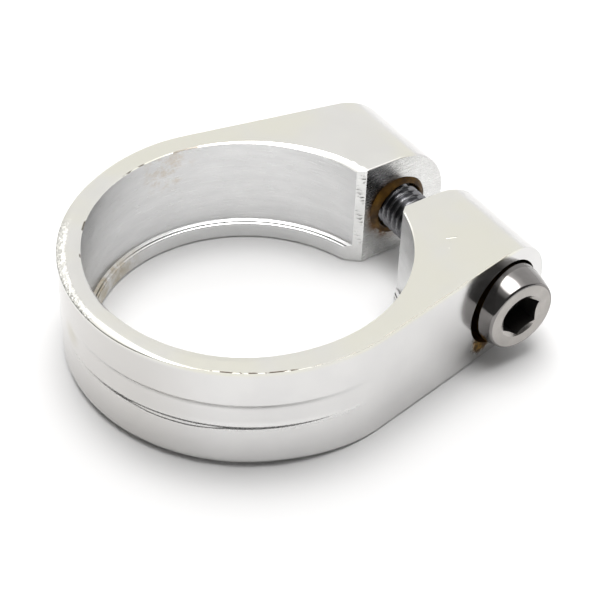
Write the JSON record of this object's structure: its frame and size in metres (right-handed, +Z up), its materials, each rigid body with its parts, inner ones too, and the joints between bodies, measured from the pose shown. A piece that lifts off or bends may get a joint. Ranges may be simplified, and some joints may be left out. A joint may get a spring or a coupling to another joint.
{
  "type": "seatpost clamp",
  "caption": "Polished aluminium split collar with an inward stop lip, tapered ears and a socket-head bolt that draws the split closed on a bicycle's seat tube.",
  "frame": {"origin": "on the bore axis, on the ledge of the stop lip where the end of the seat tube comes to rest", "axes": "+Z up the bore, away from the lip; +X towards the ears and the split; the bolt head is on the -Y side"},
  "size_m": [0.0444, 0.0364, 0.012],
  "materials": {
    "collar_aluminium": "polished, with finer turned marks in the bore and brown polishing residue left in the bolt recesses",
    "bolt_steel": "bright plated head with a satin front face, dull thread"
  },
  "bodies": {
    "collar": {"clamp_collar": "collar_aluminium"},
    "bolt": {"clamp_bolt": "bolt_steel"}
  },
  "joints": [
    {"name": "bolt_turn", "type": "hinge", "parent": "collar", "child": "bolt", "pos_m": [0.02045, 0, 0.0039], "axis": [0, 1, 0], "range_deg": [0, 450]}
  ]
}
